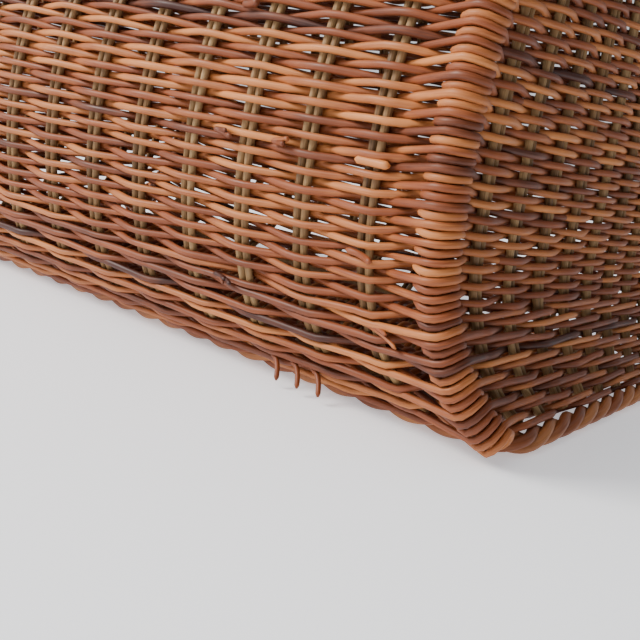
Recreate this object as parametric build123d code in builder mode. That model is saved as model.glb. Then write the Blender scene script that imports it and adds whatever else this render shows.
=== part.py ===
"""Willow sewing basket with bellied long walls, flared ends, a hinged lid and a bow handle.

Millimetres, +Z up. The origin is the middle of the footprint, on the surface that the basket stands on.
X runs along the front, and the front wall faces -Y. Each woven wall is stood for by two skins, one on each
side of its stakes, because a weaver passes in front of one pair of stakes and behind the next.
"""

import math
import os

from build123d import *

# ---- driving dimensions -------------------------------------------------------------------------------------
STAKE_PITCH = 28.0  # between pairs of stakes, measured at the belly
LONG_PAIRS = 12  # pairs of stakes in the front wall, and in the back wall
SHORT_PAIRS = 8  # pairs of stakes in each end wall
STAKE_RADIUS = 1.6
WEAVER = 2.9  # thickness of a weaver, and so of a skin of weave
POST_RADIUS = 5.5  # corner posts
FIT = 0.15  # clearance between a rod and what is woven round it

BELLY_RADIUS = 165.0  # curve of the wall through its widest level
TURN_RADIUS = 55.0  # tighter curve where the wall turns under
TURN_ANGLE = 20.0  # lean of the wall where the two curves meet
FOOT_ANGLE = 65.0  # lean of the wall where it leaves the foot
NECK_ANGLE = 16.0  # inward lean where the wall runs straight up to the rim
NECK_LENGTH = 46.0
FLARE_RADIUS = 110.0  # hollow curve of an end wall above the foot
FLARE_ANGLE = 38.0  # outward lean of an end wall where it leaves the foot
END_LEAN = 3.0  # inward lean of an end wall above its flare

FOOT_RADIUS = 5.0  # twisted border that the basket stands on
FOOT_WEAR = 0.4  # worn flat underneath by this much
RIM_RADIUS = 6.5  # plaited border round the mouth
LID_BORDER_RADIUS = 5.5
BORDER_CORNER = 16.0  # bend of a border's centre line at a corner
REST_GAP = 0.3  # between the closed lid and the rim

BASE_STICKS = 6
BASE_STICK_RADIUS = 3.0
BASE_EDGE_RADIUS = 4.0
BASE_LIFT = 1.0  # underside of the base above the surface

LID_STICKS = 8
LID_STICK_RADIUS = 2.5
LID_CROWN = 8.0  # rise of the lid's middle over its border
LID_OPENS = 100.0  # degrees

HINGE_ROD = 1.8
HINGE_PITCHES_OUT = 4  # each hinge ring sits this many stake pitches from the middle, between two pairs

HANDLE_SPAN = 116.0
HANDLE_RISE = 46.0
HANDLE_BEND = 34.0
HANDLE_RADIUS = 4.6
HANDLE_WRAP = 1.3  # thickness of the binding on the grip
HANDLE_WRAP_START = 9.0  # the binding stops this far above the lid
HANDLE_TAIL = 9.0  # the bow runs this far below the lid's upper face
HANDLE_PEG_RADIUS = 1.6
HANDLE_PEG_LENGTH = 24.0


# ---- sizes that follow --------------------------------------------------------------------------------------
HALF_LENGTH = STAKE_PITCH * (LONG_PAIRS + 1) / 2  # to the corner posts, at the belly
HALF_WIDTH = STAKE_PITCH * (SHORT_PAIRS + 1) / 2
SKIN_NEAR = STAKE_RADIUS + 2 * FIT
SKIN_FAR = SKIN_NEAR + WEAVER
WRAP_INNER = POST_RADIUS + FIT
WRAP_OUTER = WRAP_INNER + WEAVER
PANEL_GAP = WRAP_OUTER + 5 * FIT  # from a corner post's line to the end of a wall's weave


def sin(degrees):
    return math.sin(math.radians(degrees))


def cos(degrees):
    return math.cos(math.radians(degrees))


BELLY_Z = FOOT_RADIUS - FOOT_WEAR + TURN_RADIUS * (sin(FOOT_ANGLE) - sin(TURN_ANGLE)) + BELLY_RADIUS * sin(TURN_ANGLE)
TURN_ARC = math.radians(FOOT_ANGLE - TURN_ANGLE) * TURN_RADIUS
BELLY_ARC = math.radians(TURN_ANGLE + NECK_ANGLE) * BELLY_RADIUS
WALL_ARC = TURN_ARC + BELLY_ARC + NECK_LENGTH  # up the wall, from the foot's centre to the rim's centre


def wall_at(along, out=0.0):
    """(outward from the belly line, height) of a point this far up the wall, and this far outside its stakes."""
    if along < TURN_ARC:
        angle = -FOOT_ANGLE + math.degrees(along / TURN_RADIUS)
        step = (BELLY_RADIUS - TURN_RADIUS, TURN_RADIUS + out)
        outward = -BELLY_RADIUS + step[0] * cos(TURN_ANGLE) + step[1] * cos(angle)
        height = BELLY_Z - step[0] * sin(TURN_ANGLE) + step[1] * sin(angle)
        return outward, height
    angle = min(-TURN_ANGLE + math.degrees((along - TURN_ARC) / BELLY_RADIUS), NECK_ANGLE)
    past = max(along - TURN_ARC - BELLY_ARC, 0.0)
    outward = -BELLY_RADIUS + (BELLY_RADIUS + out) * cos(angle) - past * sin(NECK_ANGLE)
    height = BELLY_Z + (BELLY_RADIUS + out) * sin(angle) + past * cos(NECK_ANGLE)
    return outward, height


FOOT_OUT, FOOT_Z = wall_at(0.0)
RIM_OUT, RIM_Z = wall_at(WALL_ARC)

FLARE_TOP_Z = FOOT_Z + FLARE_RADIUS * (sin(FLARE_ANGLE) - sin(END_LEAN))
FLARE_CENTRE = (FLARE_RADIUS * cos(END_LEAN), FLARE_TOP_Z + FLARE_RADIUS * sin(END_LEAN))
FLARE_ARC = math.radians(FLARE_ANGLE - END_LEAN) * FLARE_RADIUS
END_ARC = FLARE_ARC + (RIM_Z - FLARE_TOP_Z) / cos(END_LEAN)  # up an end wall, from the foot's centre to the rim's


def end_at(along, out=0.0):
    """The same as wall_at, for an end wall: (outward from the top of its flare, height)."""
    if along < FLARE_ARC:
        angle = FLARE_ANGLE - math.degrees(along / FLARE_RADIUS)
        radius = FLARE_RADIUS - out
        return FLARE_CENTRE[0] - radius * cos(angle), FLARE_CENTRE[1] - radius * sin(angle)
    past = along - FLARE_ARC
    return out * cos(END_LEAN) - past * sin(END_LEAN), FLARE_TOP_Z + out * sin(END_LEAN) + past * cos(END_LEAN)


def long_out(height):
    """How far a long wall's stakes stand outside the belly's line at this height."""
    reach = BELLY_RADIUS - TURN_RADIUS
    if height < BELLY_Z - BELLY_RADIUS * sin(TURN_ANGLE):
        rise = height - BELLY_Z + reach * sin(TURN_ANGLE)
        return -BELLY_RADIUS + reach * cos(TURN_ANGLE) + math.sqrt(TURN_RADIUS**2 - rise**2)
    rise = min(height - BELLY_Z, BELLY_RADIUS * sin(NECK_ANGLE))
    past = height - BELLY_Z - rise
    return -BELLY_RADIUS + math.sqrt(BELLY_RADIUS**2 - rise**2) - past * math.tan(math.radians(NECK_ANGLE))


def end_out(height):
    """How far an end wall's stakes stand outside the top of its flare at this height."""
    if height < FLARE_TOP_Z:
        return FLARE_CENTRE[0] - math.sqrt(FLARE_RADIUS**2 - (FLARE_CENTRE[1] - height) ** 2)
    return -(height - FLARE_TOP_Z) * math.tan(math.radians(END_LEAN))


FOOT_X, FOOT_Y = HALF_LENGTH + end_out(FOOT_Z), HALF_WIDTH + FOOT_OUT
RIM_X, RIM_Y = HALF_LENGTH + end_out(RIM_Z), HALF_WIDTH + RIM_OUT
LID_Z = RIM_Z + RIM_RADIUS + REST_GAP + LID_BORDER_RADIUS

LID_SKIN_NEAR = LID_STICK_RADIUS + FIT
LID_SKIN_FAR = LID_SKIN_NEAR + WEAVER
BASE_SKIN_NEAR = BASE_STICK_RADIUS + FIT
BASE_MID_Z = BASE_LIFT + WEAVER + BASE_SKIN_NEAR
HINGE_X = HINGE_PITCHES_OUT * STAKE_PITCH * RIM_X / HALF_LENGTH

os.makedirs("parts", exist_ok=True)


def save(builder, name):
    builder.part.label = name
    export_step(builder.part, f"parts/{name}.step")


# ---- walls --------------------------------------------------------------------------------------------------
def skin_section(plane, half, near, far, bottom, top):
    """A skin's cross-section. The plane's x is outward and its y is up; half is the belly's half-width."""
    belly_centre = (half - BELLY_RADIUS, BELLY_Z)
    reach = BELLY_RADIUS - TURN_RADIUS
    turn_centre = (belly_centre[0] + reach * cos(TURN_ANGLE), BELLY_Z - reach * sin(TURN_ANGLE))
    start = -FOOT_ANGLE + math.degrees(bottom / TURN_RADIUS)

    def corner(along, out):
        outward, height = wall_at(along, out)
        return (half + outward, height)

    with BuildSketch(plane) as section:
        with BuildLine():
            for out in (near, far):
                CenterArc(turn_centre, TURN_RADIUS + out, start, -TURN_ANGLE - start)
                CenterArc(belly_centre, BELLY_RADIUS + out, -TURN_ANGLE, TURN_ANGLE + NECK_ANGLE)
                Line(corner(TURN_ARC + BELLY_ARC, out), corner(top, out))
            Line(corner(bottom, near), corner(bottom, far))
            Line(corner(top, near), corner(top, far))
        make_face()
    return section.sketch


def end_section(plane, near, far, bottom, top):
    """The same for an end wall. The plane's x is outward."""
    centre = (HALF_LENGTH + FLARE_CENTRE[0], FLARE_CENTRE[1])
    start = FLARE_ANGLE - math.degrees(bottom / FLARE_RADIUS)

    def corner(along, out):
        outward, height = end_at(along, out)
        return (HALF_LENGTH + outward, height)

    with BuildSketch(plane) as section:
        with BuildLine():
            for out in (near, far):
                CenterArc(centre, FLARE_RADIUS - out, 180 + END_LEAN, start - END_LEAN)
                Line(corner(FLARE_ARC, out), corner(top, out))
            Line(corner(bottom, near), corner(bottom, far))
            Line(corner(top, near), corner(top, far))
        make_face()
    return section.sketch


def between_ends():
    """Block between the lines of the end walls' weave, which trims the long walls clear of the corner wrappings."""
    low, bend, high = (end_at(along, -PANEL_GAP) for along in (0, FLARE_ARC, END_ARC))
    centre = (HALF_LENGTH + FLARE_CENTRE[0], FLARE_CENTRE[1])
    with BuildPart() as block:
        with BuildSketch(Plane.XZ):
            with BuildLine():
                CenterArc(centre, FLARE_RADIUS + PANEL_GAP, 180 + END_LEAN, FLARE_ANGLE - END_LEAN)
                Polyline(
                    (HALF_LENGTH + bend[0], bend[1]),
                    (HALF_LENGTH + high[0], high[1]),
                    (0, high[1]),
                    (0, low[1]),
                    (HALF_LENGTH + low[0], low[1]),
                )
            make_face()
            mirror(about=Plane.YZ)
        extrude(amount=2 * HALF_WIDTH, both=True)
    return block.part


def between_long_walls():
    """The same block for trimming the end walls. Under the turn it runs straight on down to the surface."""
    low, bend, high = (wall_at(along, -PANEL_GAP) for along in (0, TURN_ARC + BELLY_ARC, WALL_ARC))
    tail = low[1] / cos(FOOT_ANGLE)
    belly_centre = (HALF_WIDTH - BELLY_RADIUS, BELLY_Z)
    reach = BELLY_RADIUS - TURN_RADIUS
    turn_centre = (belly_centre[0] + reach * cos(TURN_ANGLE), BELLY_Z - reach * sin(TURN_ANGLE))
    with BuildPart() as block:
        with BuildSketch(Plane.YZ):
            with BuildLine():
                CenterArc(turn_centre, TURN_RADIUS - PANEL_GAP, -FOOT_ANGLE, FOOT_ANGLE - TURN_ANGLE)
                CenterArc(belly_centre, BELLY_RADIUS - PANEL_GAP, -TURN_ANGLE, TURN_ANGLE + NECK_ANGLE)
                Polyline(
                    (HALF_WIDTH + bend[0], bend[1]),
                    (HALF_WIDTH + high[0], high[1]),
                    (0, high[1]),
                    (0, 0),
                    (HALF_WIDTH + low[0] - tail * sin(FOOT_ANGLE), 0),
                    (HALF_WIDTH + low[0], low[1]),
                )
            make_face()
            mirror(about=Plane.YZ)
        extrude(amount=2 * HALF_LENGTH, both=True)
    return block.part


SKIN_BOTTOM = FOOT_RADIUS + FIT  # up the wall from the foot's centre
SKIN_TOP = WALL_ARC - RIM_RADIUS - FIT
END_SKIN_TOP = END_ARC - RIM_RADIUS - FIT
HINGE_SLOT = 2 * (HINGE_ROD + REST_GAP)
HINGE_REACH = RIM_RADIUS + REST_GAP + 2 * HINGE_ROD + REST_GAP
HINGE_SLOT_DEPTH = 24.0  # the open lid brings the rings this far down the back wall's outer face


def long_wall(near, far):
    """A skin of the back wall, from one corner's wrapping to the other."""
    with BuildPart() as skin:
        extrude(skin_section(Plane.YZ, HALF_WIDTH, near, far, SKIN_BOTTOM, SKIN_TOP), amount=FOOT_X, both=True)
        add(between_ends(), mode=Mode.INTERSECT)
    return skin


def end_wall(near, far):
    """A skin of the right-hand end wall."""
    with BuildPart() as skin:
        extrude(end_section(Plane.XZ, near, far, SKIN_BOTTOM, END_SKIN_TOP), amount=HALF_WIDTH, both=True)
        add(between_long_walls(), mode=Mode.INTERSECT)
    return skin


for side, near, far in (("outer", SKIN_NEAR, SKIN_FAR), ("inner", -SKIN_FAR, -SKIN_NEAR)):
    plain_long = long_wall(near, far)
    plain_end = end_wall(near, far)

    with BuildPart() as front_weave:
        mirror(plain_long.part, about=Plane.XZ)
    save(front_weave, f"front_{side}_weave")

    with BuildPart() as back_weave:
        add(plain_long.part)
        for x in (-HINGE_X, HINGE_X):
            with BuildSketch(Plane.YZ.offset(x - HINGE_SLOT / 2)):
                with Locations((RIM_Y, RIM_Z)):
                    Circle(HINGE_REACH)
                if side == "outer":
                    with Locations((RIM_Y + HINGE_REACH, RIM_Z - HINGE_SLOT_DEPTH / 2)):
                        Rectangle(2 * HINGE_REACH, HINGE_SLOT_DEPTH)
            extrude(amount=HINGE_SLOT, mode=Mode.SUBTRACT)
    save(back_weave, f"back_{side}_weave")

    with BuildPart() as right_weave:
        add(plain_end.part)
    save(right_weave, f"right_{side}_weave")

    with BuildPart() as left_weave:
        mirror(plain_end.part, about=Plane.YZ)
    save(left_weave, f"left_{side}_weave")


# ---- stakes and corner posts --------------------------------------------------------------------------------
PATH_POINTS = 10


def up_the_wall(curve, bottom, top):
    """(outward, height) at even steps up the line of a wall's stakes."""
    step = (top - bottom) / (PATH_POINTS - 1)
    return [curve(bottom + step * n) for n in range(PATH_POINTS)]


def rod(points, radius):
    """A round rod swept through the points, not yet joined to any part."""
    with BuildLine() as path:
        Spline(*points)
    with BuildSketch(path.line ^ 0) as section:
        Circle(radius)
    return sweep(section.sketch, path=path.line, mode=Mode.PRIVATE)


def paired(pairs, half, line, fan):
    """A wall's stakes, as lists of (along the wall, outward, height): two rods side by side in each pair."""
    for n in range(pairs):
        middle = (n - (pairs - 1) / 2) * STAKE_PITCH
        centre = [(middle * (1 + fan(z) / half), out, z) for out, z in line]
        for side in (-1, 1):
            path = []
            for k, (along, out, z) in enumerate(centre):
                before, after = centre[max(k - 1, 0)], centre[min(k + 1, PATH_POINTS - 1)]
                slant = math.dist(before, after) / math.dist(before[1:], after[1:])
                path.append((along + side * (STAKE_RADIUS + FIT / 2) * slant, out, z))
            yield path


STAKE_BOTTOM = SKIN_BOTTOM + STAKE_RADIUS
long_line = up_the_wall(wall_at, STAKE_BOTTOM, SKIN_TOP - 2 * FIT)
end_line = up_the_wall(end_at, STAKE_BOTTOM, END_SKIN_TOP - 2 * FIT)

with BuildPart() as back_stakes:
    long_rods = [
        rod([(along, HALF_WIDTH + out, z) for along, out, z in line], STAKE_RADIUS)
        for line in paired(LONG_PAIRS, HALF_LENGTH, long_line, end_out)
    ]
    add(long_rods, mode=Mode.REPLACE)
save(back_stakes, "back_stakes")

with BuildPart() as front_stakes:
    mirror(back_stakes.part, about=Plane.XZ, mode=Mode.REPLACE)
save(front_stakes, "front_stakes")

with BuildPart() as right_stakes:
    short_rods = [
        rod([(HALF_LENGTH + out, along, z) for along, out, z in line], STAKE_RADIUS)
        for line in paired(SHORT_PAIRS, HALF_WIDTH, end_line, long_out)
    ]
    add(short_rods, mode=Mode.REPLACE)
save(right_stakes, "right_stakes")

with BuildPart() as left_stakes:
    mirror(right_stakes.part, about=Plane.YZ, mode=Mode.REPLACE)
save(left_stakes, "left_stakes")

# A post starts where its wrapping just clears the surface that the basket stands on, and stops under the rim.
POST_BOTTOM_Z = WRAP_OUTER + 4 * FIT
POST_TOP_Z = wall_at(WALL_ARC - RIM_RADIUS - 2 * FIT)[1]
POST_STEP = (POST_TOP_Z - POST_BOTTOM_Z) / (PATH_POINTS - 1)
post_heights = [POST_BOTTOM_Z + POST_STEP * n for n in range(PATH_POINTS)]
post_line = [(HALF_LENGTH + end_out(z), HALF_WIDTH + long_out(z), z) for z in post_heights]

with BuildPart() as post:
    add(rod(post_line, POST_RADIUS))

with BuildPart() as wrap:
    add(rod(post_line, WRAP_OUTER))
    add(rod(post_line, WRAP_INNER), mode=Mode.SUBTRACT)

for corner, mirrors in (
    ("back_right", ()),
    ("front_right", (Plane.XZ,)),
    ("back_left", (Plane.YZ,)),
    ("front_left", (Plane.XZ, Plane.YZ)),
):
    for name, built in (("corner_post", post), ("corner_wrapping", wrap)):
        shape = built.part
        for plane in mirrors:
            shape = shape.mirror(plane)
        with BuildPart() as placed:
            add(shape)
        save(placed, f"{corner}_{name}")


# ---- borders ------------------------------------------------------------------------------------------------
def border(half_x, half_y, height, radius):
    """A round border whose centre line is a rectangle with bent corners."""
    with BuildPart() as ring:
        with BuildLine(Plane.XY.offset(height)) as path:
            corners = ((half_x, -half_y), (half_x, half_y), (-half_x, half_y), (-half_x, -half_y))
            FilletPolyline(*corners, radius=BORDER_CORNER, close=True)
        with BuildSketch(path.line ^ 0):
            Circle(radius)
        sweep()
    return ring


whole_foot = border(FOOT_X, FOOT_Y, FOOT_Z, FOOT_RADIUS)
with BuildPart() as foot:
    add(whole_foot.part)
    split(bisect_by=Plane.XY, keep=Keep.TOP)
save(foot, "foot_border")
rim = border(RIM_X, RIM_Y, RIM_Z, RIM_RADIUS)
save(rim, "rim_border")
lid_border = border(RIM_X, RIM_Y, LID_Z, LID_BORDER_RADIUS)
save(lid_border, "lid_border")

# ---- base ---------------------------------------------------------------------------------------------------
BASE_X = FOOT_X - FOOT_RADIUS - FIT
BASE_Y = FOOT_Y - FOOT_RADIUS - FIT
BASE_CORNER = BORDER_CORNER - FOOT_RADIUS
BASE_EDGE_Y = BASE_Y - BASE_EDGE_RADIUS
BASE_SPACING = 2 * BASE_EDGE_Y / (BASE_STICKS + 1)


def floor_half(top):
    """Half the length that the flared end walls leave on the base, for something that reaches up to this height."""
    across = math.sqrt((FLARE_RADIUS + SKIN_FAR + FIT) ** 2 - (top - FLARE_CENTRE[1]) ** 2)
    return HALF_LENGTH + FLARE_CENTRE[0] - across


def straight_sticks(places, height, half, radius):
    """Sticks along X, one at each place in Y."""
    with BuildPart() as sticks:
        with BuildSketch(Plane.YZ):
            with Locations(*[(y, height) for y in places]):
                Circle(radius)
        extrude(amount=half, both=True)
    return sticks


inner_places = [(n - (BASE_STICKS - 1) / 2) * BASE_SPACING for n in range(BASE_STICKS)]
stick_half = floor_half(BASE_MID_Z + BASE_STICK_RADIUS)
base_sticks = straight_sticks(inner_places, BASE_MID_Z, stick_half, BASE_STICK_RADIUS)
save(base_sticks, "base_sticks")
EDGE_Z = BASE_LIFT + WEAVER + FIT + BASE_EDGE_RADIUS
base_edge_sticks = straight_sticks((-BASE_EDGE_Y, BASE_EDGE_Y), EDGE_Z, BASE_X - BASE_CORNER, BASE_EDGE_RADIUS)
save(base_edge_sticks, "base_edge_sticks")

UPPER_Y = BASE_EDGE_Y - BASE_EDGE_RADIUS - FIT
UPPER_BOTTOM = BASE_MID_Z + BASE_SKIN_NEAR
for name, bottom, half_x, half_y in (
    ("base_under_weave", BASE_LIFT, BASE_X, BASE_Y),
    ("base_inner_weave", UPPER_BOTTOM, floor_half(UPPER_BOTTOM + WEAVER), UPPER_Y),
):
    with BuildPart() as base_weave:
        with BuildSketch(Plane.XY.offset(bottom)):
            RectangleRounded(2 * half_x, 2 * half_y, BASE_CORNER)
        extrude(amount=WEAVER)
    save(base_weave, name)

# ---- lid ----------------------------------------------------------------------------------------------------
LID_X = RIM_X - LID_BORDER_RADIUS - FIT
LID_Y = RIM_Y - LID_BORDER_RADIUS - FIT
LID_CORNER = BORDER_CORNER - LID_BORDER_RADIUS
GRID_X, GRID_Y = 9, 7


def crown(x, y):
    """Height of the lid's sticks at this point, over the border's centre line."""
    return LID_CROWN * (1 - (x / RIM_X) ** 2) * (1 - (y / RIM_Y) ** 2)


def lid_face(above):
    """The crowned sheet that lies this far above the line of the lid's sticks."""
    rows = [
        [
            Vector(x, y, LID_Z + above + crown(x, y))
            for y in (RIM_Y * (2 * n / (GRID_Y - 1) - 1) for n in range(GRID_Y))
        ]
        for x in (RIM_X * (2 * m / (GRID_X - 1) - 1) for m in range(GRID_X))
    ]
    return Face.make_surface_from_array_of_points(rows)


HANDLE_FEET = (-HANDLE_SPAN / 2, HANDLE_SPAN / 2)


def lid_skin(above):
    """One skin of the lid, with a way through for the handle and a notch for each hinge ring."""
    with BuildPart() as skin:
        with BuildSketch(Plane.XY.offset(LID_Z - 2 * LID_CROWN)):
            RectangleRounded(2 * LID_X, 2 * LID_Y, LID_CORNER)
        extrude(amount=5 * LID_CROWN)
        crowned = Solid.thicken(lid_face(above), WEAVER)
        add(crowned, mode=Mode.INTERSECT)
        with BuildSketch(Plane.XY.offset(LID_Z - 2 * LID_CROWN)):
            with Locations(*[(x, 0) for x in HANDLE_FEET]):
                Circle(HANDLE_RADIUS + FIT)
        extrude(amount=5 * LID_CROWN, mode=Mode.SUBTRACT)
        with BuildSketch(Plane.XY.offset(LID_Z - 2 * LID_CROWN)):
            with Locations((-HINGE_X, RIM_Y), (HINGE_X, RIM_Y)):
                Rectangle(HINGE_SLOT, 2 * HINGE_REACH)
        extrude(amount=5 * LID_CROWN, mode=Mode.SUBTRACT)
    return skin


lid_top = lid_skin(LID_SKIN_NEAR)
save(lid_top, "lid_top_weave")
lid_under = lid_skin(-LID_SKIN_FAR)
save(lid_under, "lid_under_weave")

LID_SPACING = 2 * RIM_Y / (LID_STICKS + 1)
with BuildPart() as lid_sticks:
    for y in ((n - (LID_STICKS - 1) / 2) * LID_SPACING for n in range(LID_STICKS)):
        with BuildLine() as arch:
            ThreePointArc(*[(x, y, LID_Z + crown(x, y)) for x in (-LID_X, 0, LID_X)])
        with BuildSketch(arch.line ^ 0):
            Circle(LID_STICK_RADIUS)
        sweep()
save(lid_sticks, "lid_sticks")

# ---- hinge rings --------------------------------------------------------------------------------------------
RIM_LOOP = RIM_RADIUS + REST_GAP + HINGE_ROD  # the ring's centre line, round the rim and round the lid's border
LID_LOOP = LID_BORDER_RADIUS + FIT + HINGE_ROD
LOOP_SLOPE = math.degrees(math.asin((RIM_LOOP - LID_LOOP) / (LID_Z - RIM_Z)))

for side, x in (("left", -HINGE_X), ("right", HINGE_X)):
    with BuildPart() as ring:
        with BuildLine(Plane.YZ.offset(x)) as loop:
            low = CenterArc((RIM_Y, RIM_Z), RIM_LOOP, 180 - LOOP_SLOPE, 180 + 2 * LOOP_SLOPE)
            high = CenterArc((RIM_Y, LID_Z), LID_LOOP, LOOP_SLOPE, 180 - 2 * LOOP_SLOPE)
            Line(low @ 1, high @ 0)
            Line(high @ 1, low @ 0)
        with BuildSketch(loop.line ^ 0):
            Circle(HINGE_ROD)
        sweep()
    save(ring, f"{side}_hinge_ring")

# ---- handle -------------------------------------------------------------------------------------------------
HANDLE_BASE_Z = LID_Z + LID_SKIN_FAR + crown(HANDLE_SPAN / 2, 0)
HANDLE_TOP_Z = HANDLE_BASE_Z + HANDLE_RISE
HANDLE_END_Z = HANDLE_BASE_Z - 2 * LID_SKIN_FAR - HANDLE_TAIL
PEG_Z = HANDLE_BASE_Z - 2 * LID_SKIN_FAR - HANDLE_PEG_RADIUS - REST_GAP


def handle_path(start_z):
    """The bow: up from each foot, and over in a low arch."""
    foot_x = HANDLE_SPAN / 2
    with BuildLine(Plane.XZ) as path:
        FilletPolyline(
            (-foot_x, start_z), (-foot_x, HANDLE_TOP_Z), (foot_x, HANDLE_TOP_Z), (foot_x, start_z), radius=HANDLE_BEND
        )
    return path.line


bow_line = handle_path(HANDLE_END_Z)
with BuildPart() as handle_bow:
    with BuildSketch(bow_line ^ 0):
        Circle(HANDLE_RADIUS)
    sweep(path=bow_line)
    with BuildSketch(Plane.XZ.offset(-2 * HANDLE_RADIUS)):
        with Locations(*[(x, PEG_Z) for x in HANDLE_FEET]):
            Circle(HANDLE_PEG_RADIUS + FIT / 3)
    extrude(amount=4 * HANDLE_RADIUS, mode=Mode.SUBTRACT)
save(handle_bow, "handle_bow")

grip_line = handle_path(HANDLE_BASE_Z + HANDLE_WRAP_START)
with BuildPart() as handle_binding:
    with BuildSketch(grip_line ^ 0):
        Circle(HANDLE_RADIUS + FIT + HANDLE_WRAP)
        Circle(HANDLE_RADIUS + FIT, mode=Mode.SUBTRACT)
    sweep(path=grip_line)
save(handle_binding, "handle_binding")

with BuildPart() as handle_pegs:
    with BuildSketch(Plane.XZ.offset(-HANDLE_PEG_LENGTH / 2)):
        with Locations(*[(x, PEG_Z) for x in HANDLE_FEET]):
            Circle(HANDLE_PEG_RADIUS)
    extrude(amount=HANDLE_PEG_LENGTH)
save(handle_pegs, "handle_pegs")

print("rim", round(RIM_X, 2), round(RIM_Y, 2), round(RIM_Z, 2), "foot", round(FOOT_X, 2), round(FOOT_Y, 2))
print("lid", round(LID_Z, 2), "handle top", round(HANDLE_TOP_Z + HANDLE_RADIUS, 2), "belly", round(BELLY_Z, 2))
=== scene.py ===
# %% [markdown]
# # A willow sewing basket
# The basket is woven on upright stakes: pairs of thin rods along each wall, and one thick post at each corner.
# Every row of willow passes in front of one pair and behind the next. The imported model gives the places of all
# parts, so each woven piece is made around it, in metres, and rides on the body that it belongs to.

# %% Load the frame
import math

import bpy
import numpy as np
from mathutils import Euler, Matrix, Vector


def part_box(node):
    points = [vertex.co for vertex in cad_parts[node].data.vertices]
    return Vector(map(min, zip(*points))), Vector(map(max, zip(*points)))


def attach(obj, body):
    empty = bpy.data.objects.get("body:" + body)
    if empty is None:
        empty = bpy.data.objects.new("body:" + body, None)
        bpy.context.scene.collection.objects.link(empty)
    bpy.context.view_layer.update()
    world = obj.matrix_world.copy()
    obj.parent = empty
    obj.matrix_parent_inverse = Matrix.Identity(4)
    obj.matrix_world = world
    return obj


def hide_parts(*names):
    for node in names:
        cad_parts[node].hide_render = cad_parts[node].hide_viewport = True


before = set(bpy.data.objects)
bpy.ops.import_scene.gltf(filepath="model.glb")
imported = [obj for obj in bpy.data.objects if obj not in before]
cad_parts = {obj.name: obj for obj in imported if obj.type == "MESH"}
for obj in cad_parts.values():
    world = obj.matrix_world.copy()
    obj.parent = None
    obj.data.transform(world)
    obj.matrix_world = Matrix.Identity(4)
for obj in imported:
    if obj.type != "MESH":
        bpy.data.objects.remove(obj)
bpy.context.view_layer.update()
MM = 0.001
rng = np.random.default_rng(7)

# %% [markdown]
# ## Sizes
# The long walls belly out between the foot and the rim: two arcs and a straight neck. The end walls stand nearly
# upright and flare outward to the foot. The foot's and the rim's own boxes say where the lines start and end.

# %% The line of the walls
STAKE_PITCH = 28 * MM
LONG_PAIRS, SHORT_PAIRS = 12, 8
STAKE_RADIUS = 1.6 * MM
POST_RADIUS = 5.5 * MM
WEAVER = 2.9 * MM
BELLY_RADIUS, TURN_RADIUS = 165 * MM, 55 * MM
FOOT_ANGLE, TURN_ANGLE, NECK_ANGLE = math.radians(65), math.radians(20), math.radians(16)
FLARE_RADIUS, FLARE_ANGLE, END_LEAN = 110 * MM, math.radians(38), math.radians(3)
FOOT_RADIUS, RIM_RADIUS, LID_BORDER_RADIUS, REST_GAP = 5 * MM, 6.5 * MM, 5.5 * MM, 0.3 * MM
HALF_LENGTH = STAKE_PITCH * (LONG_PAIRS + 1) / 2
HALF_WIDTH = STAKE_PITCH * (SHORT_PAIRS + 1) / 2

foot_low, foot_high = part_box("foot_border")
rim_low, rim_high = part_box("rim_border")
FOOT_X, FOOT_Y, FOOT_Z = foot_high.x - FOOT_RADIUS, foot_high.y - FOOT_RADIUS, foot_high.z - FOOT_RADIUS
RIM_X, RIM_Y, RIM_Z = rim_high.x - RIM_RADIUS, rim_high.y - RIM_RADIUS, rim_high.z - RIM_RADIUS
TURN_RISE = TURN_RADIUS * (math.sin(FOOT_ANGLE) - math.sin(TURN_ANGLE))
BELLY_Z = FOOT_Z + TURN_RISE + BELLY_RADIUS * math.sin(TURN_ANGLE)
TURN_ARC = (FOOT_ANGLE - TURN_ANGLE) * TURN_RADIUS
BELLY_ARC = (TURN_ANGLE + NECK_ANGLE) * BELLY_RADIUS
NECK_Z = BELLY_Z + BELLY_RADIUS * math.sin(NECK_ANGLE)
WALL_ARC = TURN_ARC + BELLY_ARC + (RIM_Z - NECK_Z) / math.cos(NECK_ANGLE)
FLARE_TOP_Z = FOOT_Z + FLARE_RADIUS * (math.sin(FLARE_ANGLE) - math.sin(END_LEAN))
FLARE_ARC = (FLARE_ANGLE - END_LEAN) * FLARE_RADIUS
END_ARC = FLARE_ARC + (RIM_Z - FLARE_TOP_Z) / math.cos(END_LEAN)


def wall_at(along):
    """(outward from the belly, height, slope of the outward normal) for places up the wall."""
    along = np.asarray(along, float)
    low = along < TURN_ARC
    turn = -FOOT_ANGLE + along / TURN_RADIUS
    belly = np.minimum(-TURN_ANGLE + (along - TURN_ARC) / BELLY_RADIUS, NECK_ANGLE)
    past = np.maximum(along - TURN_ARC - BELLY_ARC, 0)
    reach = BELLY_RADIUS - TURN_RADIUS
    out_low = -BELLY_RADIUS + reach * math.cos(TURN_ANGLE) + TURN_RADIUS * np.cos(turn)
    out_high = -BELLY_RADIUS + BELLY_RADIUS * np.cos(belly) - past * math.sin(NECK_ANGLE)
    up_low = BELLY_Z - reach * math.sin(TURN_ANGLE) + TURN_RADIUS * np.sin(turn)
    up_high = BELLY_Z + BELLY_RADIUS * np.sin(belly) + past * math.cos(NECK_ANGLE)
    return np.where(low, out_low, out_high), np.where(low, up_low, up_high), np.where(low, turn, belly)


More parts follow.
